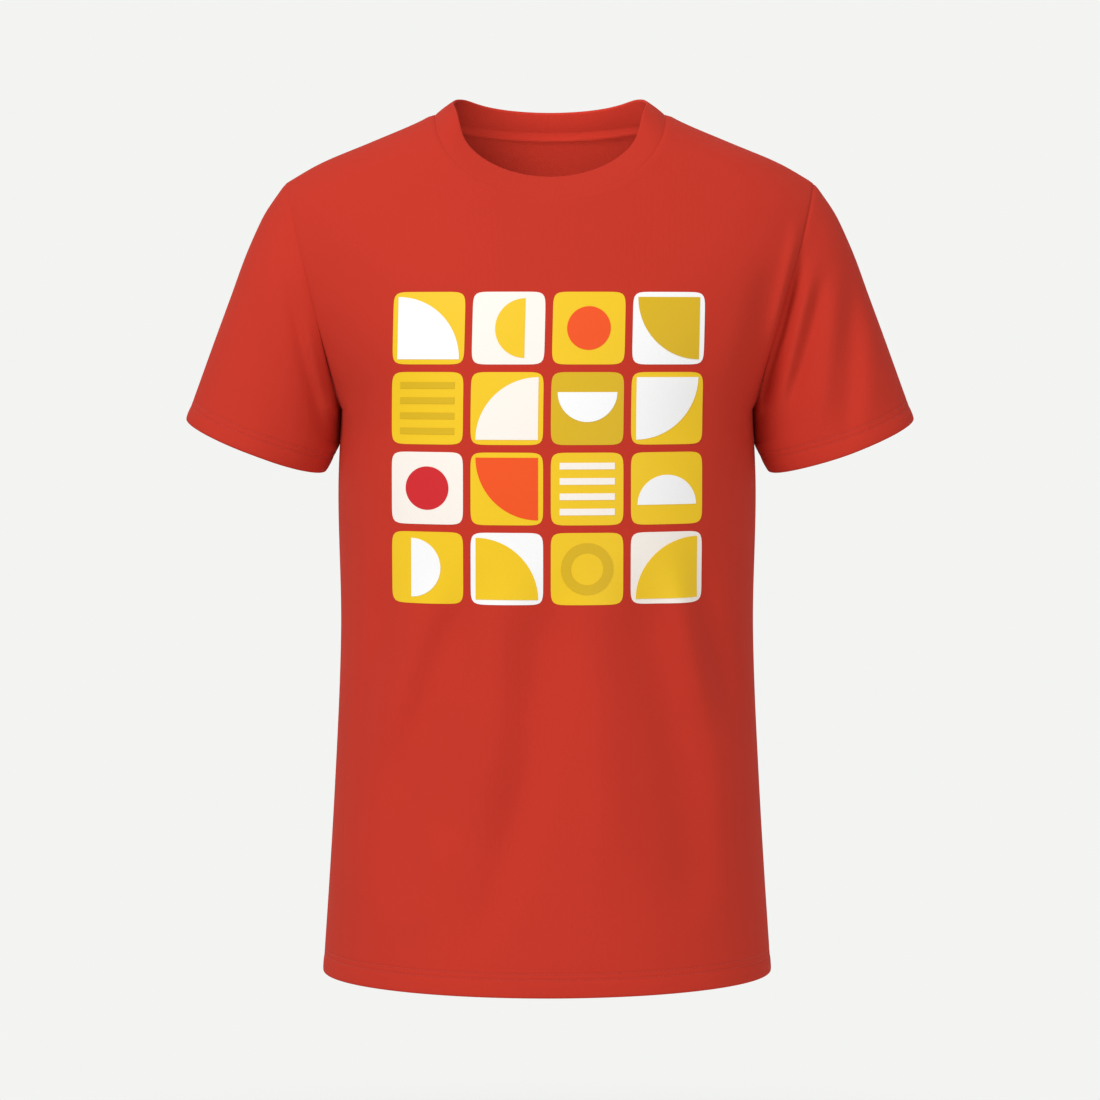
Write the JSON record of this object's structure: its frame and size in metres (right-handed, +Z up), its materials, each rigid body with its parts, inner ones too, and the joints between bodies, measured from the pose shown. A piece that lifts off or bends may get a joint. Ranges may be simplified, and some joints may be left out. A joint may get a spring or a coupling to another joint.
{
  "type": "short-sleeved t-shirt",
  "caption": "Short-sleeved crew-neck t-shirt filled out as if worn, with ribbed neckband, taped neck, sewn seams, turned-up hems and a printed chest block.",
  "frame": {"origin": "midway between the two high points of the shoulders, where the neckband meets them, in the plane of the side seams", "axes": "+Z up, +X towards the wearer's left, -Y towards the front of the shirt"},
  "size_m": [0.595, 0.276, 0.7162],
  "materials": {
    "jersey": "matte fine cotton jersey",
    "ribbed_knit": "matte ribbed cotton knit",
    "tape": "matte cotton tape",
    "overlocked_edge": "matte overlocked cotton edge"
  },
  "bodies": {
    "root": {"front_panel": "jersey", "back_panel": "jersey", "left_sleeve": "jersey", "right_sleeve": "jersey", "body_hem": "jersey", "left_sleeve_hem": "jersey", "right_sleeve_hem": "jersey", "neck_rib": "ribbed_knit", "neck_tape": "tape", "left_shoulder_seam": "overlocked_edge", "right_shoulder_seam": "overlocked_edge", "left_side_seam": "overlocked_edge", "right_side_seam": "overlocked_edge", "left_armhole_seam": "overlocked_edge", "right_armhole_seam": "overlocked_edge"}
  },
  "joints": []
}
